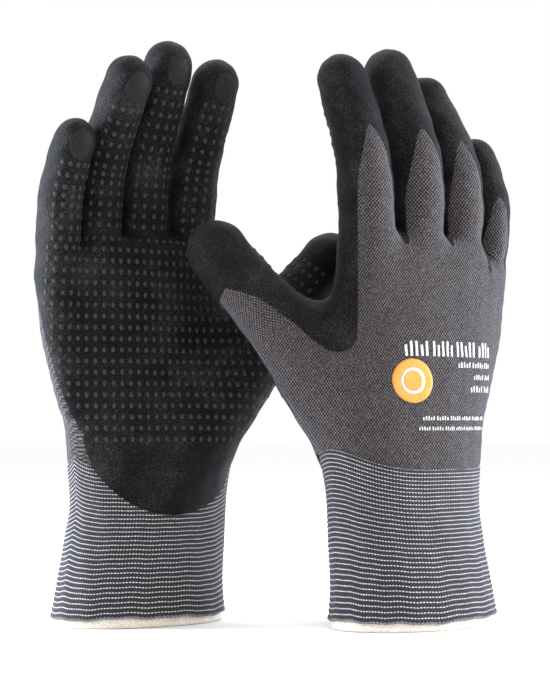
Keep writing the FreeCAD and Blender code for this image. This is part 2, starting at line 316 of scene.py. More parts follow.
# Tops of the knit arches on the fingers' backs, and the dips between fingers: x, lowest height, half width
APEX = {"index": 213.3, "middle": 213.3, "ring": 210.3, "little": 187.0}
CROTCH = [(12.3, 161.5, 2.7), (-11.2, 162.0, 2.5), (-33.2, 151.5, 2.0)]
# The coating's edge at the hand's sides: heights, and how far towards the back it comes
SIDE_HEIGHTS = [60, 80, 93, 103, 116, 132, 144, 156, 170]
SIDE_REACH = [-13, -8.2, -6.6, -5.2, -4.6, -2.2, 1.2, 4.5, 6.0]
TONGUE_X, TONGUE_Z, TONGUE_RADIUS = 4, 83, 36  # the round tongue at the bottom of the palm's coating


def view_across(p):
    """How far across the camera's view of the back each point is."""
    return VIEWER[1] * p[:, 0] - VIEWER[0] * p[:, 1]


def above_edge(p, edge):
    """Signed distance in the picture plane to a line of (across, height) points, positive above it."""
    q = np.column_stack([view_across(p), p[:, 2]])
    best = np.full(len(q), 1e9)
    side = np.ones(len(q))
    for a, b in zip(edge[:-1], edge[1:]):
        d = b - a
        t = np.clip(((q - a) @ d) / (d @ d), 0, 1)
        off = q - (a + np.outer(t, d))
        dist = np.sqrt((off ** 2).sum(1))
        s = np.sign(d[0] * (q[:, 1] - a[1]) - d[1] * (q[:, 0] - a[0]))
        better = dist < best - 1e-9
        best = np.where(better, dist, best)
        side = np.where(better, s, side)
    return best * side


def finger_of(p):
    """The name of the stall nearest to each point."""
    names = list(STALLS)
    dist = np.full((len(p), len(names)), 99.0)
    for i, name in enumerate(names):
        inside = near(p, LINES[name], 25)
        dist[inside, i] = stall_field(p[inside], LINES[name])
    return np.array(names)[dist.argmin(1)]


def dip_field(p, normal):
    """Above zero where the foam coating covers the liner, roughly the distance to its edge in millimetres."""
    x, y, z = p.T
    facing = normal @ VIEWER  # above zero on the back
    # palm: up to the hand's sides, with the tongue at the bottom, a little wider towards the thumb
    side = np.interp(z, SIDE_HEIGHTS, SIDE_REACH)
    across = np.where(x > TONGUE_X, 0.92, 1.0) * (x - TONGUE_X)
    tongue = TONGUE_RADIUS - np.hypot(across, np.minimum(z - TONGUE_Z, 0))
    tongue = np.where(z > TONGUE_Z, 50, tongue)
    palm = np.minimum(side - y, tongue)
    # thumb side: all of the palm side, and the web above its own edge on the back
    web = np.maximum(above_edge(p, WEB_EDGE), -facing * 13)
    low = np.minimum(np.where(z > 76, 40, tongue), -facing * 13)
    radial = np.where(z > 88, web, low)
    blend = np.clip((x - 14) / 12, 0, 1)
    field = palm * (1 - blend) + radial * blend
    # fingers: the whole stall but an arch on its back
    name = finger_of(p)
    for stall, apex in APEX.items():
        mine = (name == stall) & (z > (150 if stall == "little" else 160))
        r = line_frame(p[mine], LINES[stall])
        # angle from the back, turned a little to the thumb side
        angle = np.degrees(np.arctan2(r[:, 0], r[:, 1])) - 6
        reach = 62 * np.clip((apex - z[mine]) / 42, 0, 1) ** 0.6
        arch = (np.abs(angle) - reach) * 0.19
        if stall == "index":
            arch = np.maximum(arch, above_edge(p[mine], WEB_EDGE))
        fade = np.clip((z[mine] - (158 if stall == "little" else 166)) / 8, 0, 1)
        field[mine] = field[mine] * (1 - fade) + arch * fade
    for cx, low_z, half in CROTCH:
        width = half * np.sqrt(np.clip((z - low_z) / 9, 0, 1))
        dip = np.where(z < low_z, -np.hypot(low_z - z, x - cx), width - np.abs(x - cx))
        close = (y > -2) & (z < low_z + 22) & (np.abs(x - cx) < 7)
        field = np.where(close, np.maximum(field, dip), field)
    return field


# ---------------------------------------------------------------- meshes: cut, thicken, place
def clip(points, tris, value, snap=0.08):
    """Cuts a triangle mesh along value = 0, where points closer than snap count as on it. Returns both sides
    as (points, triangles), the positive side first."""
    value = np.where(np.abs(value) < snap, 0.0, value)
    s = np.sign(value).astype(int)
    low, high = s[tris].min(1), s[tris].max(1)
    sides = {1: list(map(tuple, tris[(low >= 0) & (high > 0)])),
             -1: list(map(tuple, tris[(high <= 0) & (low < 0)]))}
    sides[1] += list(map(tuple, tris[(low == 0) & (high == 0)]))
    extra, made = [], {}

    def crossing(a, b):
        key = (a, b) if a < b else (b, a)
        if key not in made:
            t = value[a] / (value[a] - value[b])
            made[key] = len(points) + len(extra)
            extra.append(points[a] + t * (points[b] - points[a]))
        return made[key]

    for tri in tris[(low < 0) & (high > 0)]:
        tri = list(tri)
        ring = []
        for i in range(3):
            a, b = tri[i], tri[(i + 1) % 3]
            ring.append((a, s[a]))
            if s[a] * s[b] < 0:
                ring.append((crossing(a, b), 0))
        for side in (1, -1):
            loop = [v for v, sign in ring if sign * side >= 0]
            sides[side] += [(loop[0], loop[i], loop[i + 1]) for i in range(1, len(loop) - 1)]
    allp = np.vstack([points, extra]) if extra else points
    return [compact(allp, np.array(sides[k], int).reshape(-1, 3)) for k in (1, -1)]


def compact(points, tris):
    """The same mesh with only the points it uses."""
    used, back = np.unique(tris, return_inverse=True)
    return points[used], back.reshape(tris.shape)


def shell(points, faces, normal, out, thick):
    """A closed sheet: the faces moved out by out, the same faces thick below them, and the walls between."""
    faces = np.asarray(faces)
    n = len(points)
    size = faces.shape[1]
    outer = points + normal * np.reshape(out, (-1, 1))
    inner = points - normal * thick
    edges = np.vstack([faces[:, [i, (i + 1) % size]] for i in range(size)])
    key = np.sort(edges, axis=1)
    _, first, count = np.unique(key[:, 0] * n + key[:, 1], return_index=True, return_counts=True)
    rim = edges[first[count == 1]]
    walls = [(b, a, a + n, b + n) for a, b in rim]
    body = list(map(tuple, faces)) + list(map(tuple, faces[:, ::-1] + n)) + walls
    return np.vstack([outer, inner]), body, len(walls)


def to_row(p, glove):
    """Points of a glove's own frame, in the frame of the row, in metres."""
    side, turn = GLOVES[glove]
    x, y, z = np.asarray(p, float).T
    return np.column_stack([turn * x + side * CUFF_X, turn * y - side * CUFF_Y, z]) * MM


def lean(p, glove):
    """The two gloves' fingers lie a little differently: palm_out's lean to the thumb, back_out's spread."""
    x, z = p[:, 0], p[:, 2]
    if glove == "palm_out":
        start, run, shift = 170, 65, 2.8
    else:
        start, run, shift = 145, 40, -5.0 * np.clip((24 - x) / 66, 0, 1.1)
    t = np.clip((z - start) / run, 0, 1)
    return np.column_stack([x + shift * t * t * (3 - 2 * t), p[:, 1:]])


PIECES = []  # the pieces of one glove


def make(name, part, sheet, material, slot, replaces=(), **extra):
    """Notes a piece: its part of the glove, its (points, faces, count of flat faces at the end), its
    material, the slot it shows, the CAD nodes it stands for, and perhaps stitch coordinates (weave, wrap)
    and the directions that it is shaded by (facing)."""
    PIECES.append(dict(name=name, part=part, sheet=sheet, material=material, slot=slot,
                       replaces=replaces, **extra))


def place(piece, glove, materials):
    """One piece of one glove, in the row."""
    points, faces, flat = piece["sheet"]
    turn = GLOVES[glove][1]
    mesh = bpy.data.meshes.new(f"{glove}_{piece['name']}")
    placed = to_row(lean(points, glove), glove)
    mesh.from_pydata(placed.tolist(), [], [tuple(map(int, face)) for face in faces])
    mesh.update()
    mesh.polygons.foreach_set("use_smooth", [True] * (len(mesh.polygons) - flat) + [False] * flat)
    mesh.materials.append(materials[piece["material"]])
    if "weave" in piece:
        uv_map(mesh, piece["weave"], piece.get("wrap"))
    if "facing" in piece:
        mesh.normals_split_custom_set_from_vertices((piece["facing"] * (turn, turn, 1)).tolist())
    made = bpy.data.objects.new(mesh.name, mesh)
    bpy.context.scene.collection.objects.link(made)
    bend_with(made, glove, piece["part"])
    if piece["replaces"]:
        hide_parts(*[f"{glove}_{node}" for node in piece["replaces"]])


# ---------------------------------------------------------------- the stalls' bends
# Stall: the cut from the hand, the seam between its two pieces, and the end of the second bend, as heights,
# or for the thumb as distances along it from its root
BENDS = {"index": (169.5, 188.0, 207.0), "middle": (169.5, 189.0, 210.0), "ring": (169.5, 188.0, 206.0),
         "little": (162.5, 175.5, 191.0), "thumb": (8.5, 21.0, 34.0)}
LITTLE_EDGE = [-34.2, -32.4]  # x where the little finger's cut goes over into the ring finger's
THUMB_ROOT = np.array(THUMB[2][:3])
THUMB_RUN = np.array((16.0, -6.5, 21.4)) / np.linalg.norm((16.0, -6.5, 21.4))


def run_of(stall):
    """A point and a direction that a stall's bends are measured along."""
    if stall == "thumb":
        return THUMB_ROOT, THUMB_RUN
    root = LINES[stall][0, :3].copy()
    root[2] = 0
    return root, np.array((0.0, 0.0, 1.0))


def along(p, stall):
    """How far up a stall each point is, as BENDS measures it."""
    root, run = run_of(stall)
    return (p - root) @ run


def split_stalls(points, tris):
    """The hand, and each stall's lower and upper part, as {name: (points, triangles)}."""
    def near_thumb(p):
        offset = np.abs(line_frame(p, LINES["thumb"])[:, :3]).max(1)
        return (p[:, 0] > 38) & (offset < 19) & (p[:, 2] < 180)

    above = points[:, 2] - np.interp(points[:, 0], LITTLE_EDGE, [BENDS["little"][0], BENDS["ring"][0]])
    fingers, rest = clip(points, tris, np.where(near_thumb(points), -5.0, above))
    side = np.where(near_thumb(rest[0]), along(rest[0], "thumb") - BENDS["thumb"][0], -5.0)
    thumb, hand = clip(*rest, side)
    whole = {"thumb": thumb}
    owner = finger_of(fingers[0])[fingers[1][:, 0]]
    for stall in STALLS:
        whole[stall] = compact(fingers[0], fingers[1][owner == stall])
    parts = {"hand": hand}
    for stall, (p, t) in whole.items():
        parts[f"{stall}_tip"], parts[f"{stall}_base"] = clip(p, t, along(p, stall) - BENDS[stall][1])
    return parts


def bend_with(piece, glove, part):
    """Attaches a piece of the hand to the glove's hand; a piece of a stall only has its placement baked into
    its points.
    """
    if part == "hand":
        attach(piece, f"{glove}_hand")
        return
    stall, half = part.rsplit("_", 1)
    root, run = run_of(stall)
    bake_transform(piece)


# ---------------------------------------------------------------- cuff
STRIPES = 34
WALES = 160  # columns of stitches round the cuff


def cuff_top(turn):
    """Height of the top stripe round the cuff: highest below the thumb, and peaked at the seam opposite."""
    seam = np.abs(np.angle(np.exp(1j * (turn - math.pi - 0.12))))
    return 66.6 + 8.5 * np.clip(np.cos(turn), 0, 1) ** 3 + 5.5 * np.exp(-seam / 0.28)


def cuff_hem(turn):
    """Height of the hem round the cuff, a little wavy."""
    return 3.9 + 0.45 * np.sin(3 * turn + 1.0) + 0.25 * np.sin(8 * turn) + 0.15 * np.sin(19 * turn + 2)


def grid_faces(rows, columns, closed=True):
    """Quads of a grid of points given row by row, joined round at the ends of the rows if closed."""
    i, j = np.meshgrid(np.arange(rows - 1), np.arange(columns if closed else columns - 1), indexing="ij")
    k = (j + 1) % columns
    return np.column_stack([(i * columns + j).ravel(), (i * columns + k).ravel(),
                            ((i + 1) * columns + k).ravel(), ((i + 1) * columns + j).ravel()])


def disc_faces(rings, count):
    """Triangles of a disc: a middle point, then rings of count points."""
    k = np.arange(count)
    fan = np.column_stack([np.zeros(count, int), 1 + k, 1 + (k + 1) % count])
    quads = grid_faces(rings, count)[:, ::-1] + 1
    return np.vstack([fan, quads[:, [0, 1, 2]], quads[:, [0, 2, 3]]])


def disc_points(rings, count):
    """How far out and which way round each point of a disc of radius 1 is."""
    r = np.repeat(np.linspace(1 / rings, 1, rings), count)
    a = np.tile(np.linspace(0, 2 * np.pi, count, endpoint=False), rings)
    return np.append(0, r), np.append(0, a)


def ring_points(turn, z, out=0.0):
    """Points on the glove's skin round the wrist, moved out by out, and their level directions outwards."""
    cx, cy, a, b = tube_at(z)
    p = np.column_stack([cx + a * np.cos(turn), cy + b * np.sin(turn), z])
    p, n = on_skin(p)
    n[:, 2] = 0
    n = unit(n)
    p[:, 2] = z
    return p + n * np.reshape(out, (-1, 1)), n


def ring_grid(rows, columns):
    """Round (radians) and up (0 to 1) for each point of a grid wrapped round the wrist."""
    return (np.tile(np.linspace(0, 2 * np.pi, columns, endpoint=False), rows),
            np.repeat(np.linspace(0, 1, rows), columns))


def make_cuff():
    """The striped cuff with its ribs, the cream lining that shows below it, and the thread round its hem."""
    columns = 220
    rows = STRIPES * 6 + 1
    turn, v = ring_grid(rows, columns)
    rise = v * (1.18 - 0.18 * v)  # the stripes lie closer together higher up
    z = cuff_hem(turn) + rise * (cuff_top(turn) - cuff_hem(turn))
    rib = 0.17 * np.cos(2 * np.pi * (v * STRIPES - 0.5)) - 0.1 * np.exp(-((1 - v) * 60) ** 2)
    belly = 0.35 * np.exp(-(v * 14) ** 2)
    ripple = 0.22 * np.sin(5 * turn + 4 * v) * np.sin(3.1 * v * np.pi) + 0.1 * np.sin(17 * turn + 9 * v)
    p, n = ring_points(turn, z)
    under = np.clip(dip_field(p, n) / 1.6 + 0.7, 0, 1)  # pressed flat below the coating
    out = (0.25 + rib + belly + ripple) * (1 - under) - 0.55 * under
    weave = np.column_stack([turn / (2 * np.pi) * WALES, v * STRIPES])
    make("cuff_knit", "hand", shell(p + n * out[:, None], grid_faces(rows, columns), n, 0.0, CUFF_SHEET),
         "cuff", "striped_knit", ["cuff"], weave=np.vstack([weave, weave]), wrap=WALES)

    # cream inner face, standing on its rim
    rows = 56
    turn, v = ring_grid(rows, columns)
    lip = 0.35 * np.exp(-(v * 22) ** 2) + 0.12 * np.sin(31 * turn) * np.exp(-(v * 16) ** 2)
    p, n = ring_points(turn, v * LINING_TOP, lip - LINING_GAP)
    make("cuff_inner", "hand", shell(p, grid_faces(rows, columns), n, 0.0, LINING_SHEET),
         "lining", "cream_knit", ["cuff_lining"])

    # overlocked thread along the hem
    columns, sides = 520, 8
    beads = 130  # round the hem
    turn = np.repeat(np.linspace(0, 2 * np.pi, columns, endpoint=False), sides)
    angle = np.tile(np.linspace(0, 2 * np.pi, sides, endpoint=False), columns)
    z = cuff_hem(turn) + 0.15
    p, n = ring_points(turn, z, 0.25)
    beat = np.sin(turn * beads)
    radius = 0.5 + 0.16 * beat
    p = p + n * (radius * np.cos(angle))[:, None]
    p[:, 2] = z + radius * 1.15 * np.sin(angle) + 0.12 * beat
    k = np.arange(sides)
    end = (columns - 1) * sides
    last = np.column_stack([end + k, end + (k + 1) % sides, (k + 1) % sides, k])
    make("hem", "hand", (p, np.vstack([grid_faces(columns, sides), last]), 0),
         "hem", "hem_yarn", ["hem_thread"])


def uv_map(mesh, coords, wrap=None):
    """Stitch coordinates per point; wrap is the first coordinate's length all the way round."""
    layer = mesh.uv_layers.new(name="weave")
    index = np.empty(len(mesh.loops), int)
    mesh.loops.foreach_get("vertex_index", index)
    uv = coords[index].copy()
    if wrap:
        start = np.empty(len(mesh.polygons), int)
        total = np.empty(len(mesh.polygons), int)
        mesh.polygons.foreach_get("loop_start", start)
        mesh.polygons.foreach_get("loop_total", total)
        face = np.repeat(np.arange(len(start)), total)
        high = np.zeros(len(start))
        np.maximum.at(high, face, uv[:, 0])
        uv[:, 0] = np.where(high[face] - uv[:, 0] > wrap / 2, uv[:, 0] + wrap, uv[:, 0])
    layer.data.foreach_set("uv", uv.ravel())


# ---------------------------------------------------------------- dots and print
def domes(p, n, up, width, height, rise):
    """Small oval domes at p facing n, longer along up."""
    side = unit(np.cross(up, n))
    up = np.cross(n, side)
    rings = [(1.0, -0.25), (0.82, 0.45), (0.45, 0.88)]  # how wide, and how high
    count = 10
    points, faces = [], []
    for i in range(len(p)):
        base = i * (len(rings) * count + 1)
        for scale, lift in rings:
            for k in range(count):
                a = 2 * math.pi * k / count
                across, along_up = math.cos(a) * width * scale, math.sin(a) * height * scale
                points.append(p[i] + side[i] * across + up[i] * along_up + n[i] * (lift * rise))
        points.append(p[i] + n[i] * rise)
        after = [(k, (k + 1) % count) for k in range(count)]
        for r in range(len(rings) - 1):
            low, high = base + r * count, base + (r + 1) * count
            faces += [(low + k, low + m, high + m, high + k) for k, m in after]
        last = base + (len(rings) - 1) * count
        faces += [(last + k, last + m, last + count) for k, m in after]
        faces.append(tuple(base + k for k in reversed(range(count))))
    return np.array(points), faces, 0


def palm_way(stall, ahead):
    """At a place where a stall runs ahead: the direction out of its palm side, and the one across it."""
    palm = -THUMB_BACK if stall == "thumb" else np.array((0.0, -1.0, 0.0))
    palm = palm - ahead * (palm @ ahead)
    palm /= np.linalg.norm(palm)
    return palm, np.cross(ahead, palm)


def palm_dots():
    """Places of the palm's dots: level rows, with the dots evenly spaced along the skin."""
    rows = []
    for z in np.arange(79.4, 168.0, DOT_ROW):
        # a level line in front of the palm, moved onto it
        x = np.arange(-50.0, 66.0, 0.4)
        p = np.column_stack([x, np.full(len(x), -46.0), np.full(len(x), z)])
        for _ in range(30):
            p[:, 1] += 0.8 * np.clip(glove_field(p), -1, 6)
        p = p[np.abs(glove_field(p)) < 0.3]
        length = np.concatenate([[0], np.cumsum(np.linalg.norm(np.diff(p, axis=0), axis=1))])
        middle = np.interp(TONGUE_X, p[:, 0], length)  # where each row has a dot
        at = np.arange(middle % DOT_STEP, length[-1], DOT_STEP)
        rows.append(np.column_stack([np.interp(at, length, p[:, i]) for i in range(3)]))
    return np.vstack(rows)


def dot_places():
    """Where the dots sit on the skin, as {part of the glove: (points, directions, up directions)}."""
    found = {"hand": palm_dots()}
    for stall, line in LINES.items():
        start, seam, _ = BENDS[stall]
        first = 10.4 if stall == "thumb" else start + 2.0
        angles = (-50, -33, -16, 0, 16, 33, 50) if stall == "thumb" else (-40, -20, 0, 20, 40)
        run = np.array([along(q[None, :3], stall)[0] for q in line])
        for s in np.arange(first, run[-1] - 5.0, DOT_ROW):
            centre, ahead = (np.array([np.interp(at, run, line[:, i]) for i in range(3)])
                             for at in (s, s + 1))
            palm, side = palm_way(stall, (ahead - centre) / np.linalg.norm(ahead - centre))
            part = f"{stall}_{'base' if s < seam else 'tip'}"
            for angle in map(math.radians, angles):
                out = palm * math.cos(angle) + side * math.sin(angle)
                found.setdefault(part, []).append(centre + out * STALL_RADIUS)
    places = {}
    for part, p in found.items():
        p, n = on_skin(np.array(p), 4)
        keep = (dip_field(p, n) > 2.2) & (np.abs(glove_field(p)) < 0.3)
        if part == "hand":
            keep &= (n[:, 1] < -0.3) & ((along(p, "thumb") < 6.8) | (p[:, 0] < 38))
            keep &= p[:, 2] < np.interp(p[:, 0], LITTLE_EDGE, [161.0, 168.0])
        up = np.tile(THUMB_RUN if part.startswith("thumb") else (0.0, 0.0, 1.0), (len(p), 1))
        p = p + n * uneven(p)[:, None]
        places[part] = (p[keep], n[keep], up[keep])
    return places


def make_pads():
    """The oval of thicker coating at each fingertip, on the palm side."""
    count, rings = 40, 9
    half_width, half_length = 5.6, 7.4
    r, a = disc_points(rings, count)
    for stall, line in LINES.items():
        ahead = line[-1, :3] - line[-4, :3]
        ahead /= np.linalg.norm(ahead)
        palm, side = palm_way(stall, ahead)
        centre = line[-1, :3] + ahead * 2.2 + palm * line[-1, 3]
        p = centre + np.outer(half_width * r * np.cos(a), side) + np.outer(half_length * r * np.sin(a), ahead)
        p, n = on_skin(p, 5)
        p = p + n * (uneven(p) + DOT_FOOT)[:, None]
        # flat, with a groove just inside its edge
        rise = 0.16 * (1 - np.clip((r - 0.86) / 0.14, 0, 1) ** 2) - 0.08 * np.exp(-((r - 0.8) / 0.06) ** 2)
        make(f"{stall}_pad", f"{stall}_tip", shell(p, disc_faces(rings, count), n, rise, 0.3),
             "pad", "black_foam")


def patch_on_back(x, z, lift):
    """Points given across and up the back, laid on its skin and lifted off it."""
    p = np.column_stack([x, np.full(len(x), 20.0), z])
    for _ in range(4):
        p[:, 1] -= glove_field(p) * 0.9
    n = unit(skin_gradient(p))
    return p + n * (uneven(p) + lift)[:, None], n


def make_print():
    """A plain round badge with a ring in it, and rows of plain bars where the lines of print are."""
    count, rings = 56, 8
    centre_x, centre_z = 13.9, 104.0
    r, a = disc_points(rings, count)
    for name, radius, lift, colour in (("badge_disc", 9.3, 0.14, "orange"),
                                       ("badge_ring", 5.6, 0.22, "white"),
                                       ("badge_middle", 4.3, 0.30, "orange")):
        p, n = patch_on_back(centre_x - radius * r * np.cos(a), centre_z + radius * r * np.sin(a), lift)
        make(name, "hand", shell(p, disc_faces(rings, count), n, 0.0, lift + 0.05), colour, f"{colour}_print",
             ["print_badge"] if name == "badge_disc" else [])
    bars = []  # each bar's left, right, bottom and top

    def line(first, last, low, high, stroke, gap):
        """A row of bars in groups of five, every third of them a little shorter."""
        x, i = first, 0
        while x - stroke > last:
            tall = high if i % 3 else high - 0.25 * (high - low)
            bars.append((x - stroke, x, low, tall))
            x -= stroke + gap * (2.0 if i % 5 == 4 else 1.0)
            i += 1

    line(17.0, -33.0, 114.4, 120.8, 1.15, 1.25)
    line(-10.0, -33.0, 109.8, 112.2, 0.8, 0.8)
    line(-20.0, -33.0, 104.8, 107.0, 0.7, 0.8)
    line(-18.0, -33.0, 99.4, 102.2, 0.8, 0.9)
    line(10.0, -28.0, 87.4, 89.2, 0.65, 0.65)
    line(12.0, -29.0, 83.2, 84.8, 0.6, 0.6)
    points, faces, base = [], [], 0
    for left, right, low, high in bars:
        nz = max(3, int((high - low) / 0.8) + 1)
        gx, gz = np.meshgrid(np.linspace(right, left, 3), np.linspace(low, high, nz), indexing="ij")
        p, n = patch_on_back(gx.ravel(), gz.ravel(), 0.16)
        q, f, _ = shell(p, grid_faces(3, nz, closed=False), n, 0.0, 0.2)
        points.append(q)
        faces += [tuple(v + base for v in face) for face in f]
        base += len(q)
    make("print_lines", "hand", (np.vstack(points), faces, 0), "white", "white_print", ["print_bars"])


# ---------------------------------------------------------------- materials
def new_material(name, roughness, specular):
    material = bpy.data.materials.new(name)
    material.use_nodes = True
    shader = material.node_tree.nodes["Principled BSDF"]
    shader.inputs["Roughness"].default_value = roughness
    shader.inputs["Specular IOR Level"].default_value = specular
    return material, material.node_tree, shader


def object_coords(tree):
    return tree.nodes.new("ShaderNodeTexCoord").outputs["Object"]


def weave_coords(tree):
    """The stitch coordinates of a knitted piece: how far round, and how far up."""
    uv = tree.nodes.new("ShaderNodeUVMap")
    uv.uv_map = "weave"
    split = tree.nodes.new("ShaderNodeSeparateXYZ")
    tree.links.new(uv.outputs[0], split.inputs[0])
    return split.outputs[0], split.outputs[1]


def ramp(tree, source, stops):
    """A colour for each value of source, given as (value, colour) stops."""
    made = tree.nodes.new("ShaderNodeValToRGB")
    elements = made.color_ramp.elements
    while len(elements) < len(stops):
        elements.new(0.5)
    for element, (at, colour) in zip(elements, stops):
        element.position = at
        element.color = (*colour, 1)
    tree.links.new(source, made.inputs[0])
    return made.outputs[0]


def maths(tree, operation, *values):
    """A sum worked out by a node, from numbers and other nodes' outputs."""
    made = tree.nodes.new("ShaderNodeMath")
    made.operation = operation
    for i, value in enumerate(values):
        if isinstance(value, (int, float)):
            made.inputs[i].default_value = value
        else:
            tree.links.new(value, made.inputs[i])
    return made.outputs[0]


def bump(tree, shader, height, distance, strength):
    made = tree.nodes.new("ShaderNodeBump")
    made.inputs["Distance"].default_value = distance
    made.inputs["Strength"].default_value = strength
    tree.links.new(height, made.inputs["Height"])
    tree.links.new(made.outputs[0], shader.inputs["Normal"])


def noise(tree, coords, scale, detail, rough):
    made = tree.nodes.new("ShaderNodeTexNoise")
    made.inputs["Scale"].default_value = scale
    made.inputs["Detail"].default_value = detail
    made.inputs["Roughness"].default_value = rough
    tree.links.new(coords, made.inputs["Vector"])
    return made.outputs["Fac"]


def sheen(shader, weight, roughness, tint):
    shader.inputs["Sheen Weight"].default_value = weight
    shader.inputs["Sheen Roughness"].default_value = roughness
    shader.inputs["Sheen Tint"].default_value = (*tint, 1)


def knit_material():
    """Grey knit: stitches in slanting rows both ways, under a fine fuzz; darker where stitches and fuzz sit
    lower, painted shade in their grooves, over a random mottle of the yarn's own tone.
    """
    material, tree, shader = new_material("grey_liner_knit", 0.85, 0.15)
    calc = partial(maths, tree)
    obj = object_coords(tree)
    u, v = weave_coords(tree)
    right, left = (calc("SINE", calc("MULTIPLY", calc("MULTIPLY_ADD", v, slant, calc("MULTIPLY", u, 0.72)),
                                     2 * math.pi)) for slant in (0.56, -0.56))
    stitches = calc("MULTIPLY", calc("ADD", right, left), 0.5)
    height = calc("ADD", stitches, calc("MULTIPLY", noise(tree, obj, 2600, 2, 0.6), 1.2))
    mottled = noise(tree, obj, 1900, 3, 0.7)
    # colour: painted shade, darker where the stitches and fuzz sit lower, over the yarn's own random mottle
    level = calc("ADD", calc("MULTIPLY", calc("SUBTRACT", height, 0.6), 0.17), mottled)
    colour = ramp(tree, level, [(0.32, (0.002, 0.0015, 0.0014)), (0.5, (0.029, 0.0245, 0.0235)),
                                (0.68, (0.132, 0.114, 0.108))])
    tree.links.new(colour, shader.inputs["Base Color"])
    sheen(shader, 0.20, 0.4, (0.78, 0.82, 1.0))
    bump(tree, shader, height, 0.00022, 0.8)
    return material


def coat_material():
    """Black nitrile foam: matt, with pores; paler where its grain stands up, a painted highlight on the
    grain's ridges, over a broad random tone of its own.
    """
    material, tree, shader = new_material("black_foam_coat", 0.6, 0.09)
    calc = partial(maths, tree)
    obj = object_coords(tree)
    grain = noise(tree, obj, 1700, 4, 0.7)
    pores = tree.nodes.new("ShaderNodeTexVoronoi")
    pores.inputs["Scale"].default_value = 1300
    tree.links.new(obj, pores.inputs["Vector"])
    height = calc("ADD", grain, calc("MULTIPLY", pores.outputs["Distance"], 0.5))
    broad = noise(tree, obj, 60, 2, 0.5)
    # colour: painted highlight, paler on the grain's ridges, plus a broad random tone of the foam's own
    level = calc("ADD", calc("MULTIPLY", grain, 0.8), calc("MULTIPLY", broad, 0.25))
    colour = ramp(tree, level, [(0.44, (0.0004, 0.0004, 0.0004)), (0.54, (0.0038, 0.0037, 0.0034)),
                                (0.66, (0.034, 0.033, 0.031))])
    tree.links.new(colour, shader.inputs["Base Color"])
    tree.links.new(calc("MULTIPLY_ADD", grain, 0.5, 0.30), shader.inputs["Roughness"])
    sheen(shader, 0.03, 0.35, (0.62, 0.70, 1.0))
    bump(tree, shader, height, 0.0005, 0.9)
    return material


def cuff_material():
    """Striped knit: one light stitch to each wale, in rows on a dark ground."""
    material, tree, shader = new_material("striped_cuff_knit", 0.8, 0.3)
    calc = partial(maths, tree)
    obj = object_coords(tree)
    u, v = weave_coords(tree)
    stitch = calc("COSINE", calc("MULTIPLY", u, 2 * math.pi))
    lane = calc("ADD", v, calc("MULTIPLY", noise(tree, obj, 500, 2, 0.6), 0.16))
    away = calc("ABSOLUTE", calc("SUBTRACT", calc("FRACT", calc("ADD", lane, 0.42)), 0.5))
    light = calc("SUBTRACT", 0.80, calc("MULTIPLY", away, 4.2))
    light = calc("ADD", light, calc("MULTIPLY", stitch, 0.24))
    fleck = noise(tree, obj, 1500, 3, 0.7)
    level = calc("ADD", light, calc("MULTIPLY", calc("SUBTRACT", fleck, 0.5), 0.9))
    colour = ramp(tree, level, [(0.0, (0.016, 0.0145, 0.017)), (0.36, (0.048, 0.045, 0.049)),
                                (0.70, (0.42, 0.40, 0.39)), (0.95, (0.66, 0.64, 0.62))])
    tree.links.new(colour, shader.inputs["Base Color"])
    sheen(shader, 0.15, 0.4, (0.8, 0.84, 1.0))
    bump(tree, shader, calc("ADD", calc("MULTIPLY", stitch, 0.35), fleck), 0.00025, 0.8)
    return material


def grained_material(name, surface, grain, stops, relief):
    """A colour broken up by a fine grain: surface is (roughness, specular), grain (scale, detail, roughness),
    relief (height in metres, strength)."""
    material, tree, shader = new_material(name, *surface)
    level = noise(tree, object_coords(tree), *grain)
    # the colour follows the grain that the relief follows; for the yarns its darker end is painted shade
    # between the fibres
    tree.links.new(ramp(tree, level, stops), shader.inputs["Base Color"])
    bump(tree, shader, level, *relief)
    return material


def rubber_material(name, dark, light):
    """The closed rubber of the dots and fingertips, smoother than the foam."""
    return grained_material(name, (0.6, 0.1), (2200, 3, 0.6), [(0.3, dark), (0.7, light)], (0.00015, 0.6))


def yarn_material(name, dark, light):
    """Plain yarn of one colour, with painted shade between its fibres: darker where its grain sits lower."""
    return grained_material(name, (0.85, 0.25), (1300, 3, 0.65), [(0.3, dark), (0.7, light)], (0.0004, 0.7))


def print_material(name, colour, worn):
    """Ink printed on knit: broken up a little by the stitches below."""
    return grained_material(name, (0.6, 0.35), (1500, 3, 0.7), [(0.30, worn), (0.46, colour)], (0.0003, 0.7))


# ---------------------------------------------------------------- one glove's pieces
def knit_coords(p, part):
    """How far round and how far up each point is, in millimetres, for the stitches."""
    stall = part.rsplit("_", 1)[0]
    if stall == "thumb":
        r = line_frame(p, LINES["thumb"])
        side = np.cross(THUMB_RUN, THUMB_BACK)
        angle = np.arctan2(r[:, :3] @ side, r[:, :3] @ THUMB_BACK)
        return np.column_stack([angle * THUMB_RADIUS, along(p, "thumb")])
    if stall in STALLS:
        r = line_frame(p, LINES[stall])
        return np.column_stack([np.arctan2(r[:, 0], r[:, 1]) * STALL_RADIUS, p[:, 2]])
    cx, cy, _, b = tube_at(p[:, 2])
    round_side = np.clip(b - (p[:, 1] - cy), 0, 60) * np.tanh((p[:, 0] - cx) / 20)
    return np.column_stack([p[:, 0] + 0.6 * round_side, p[:, 2]])


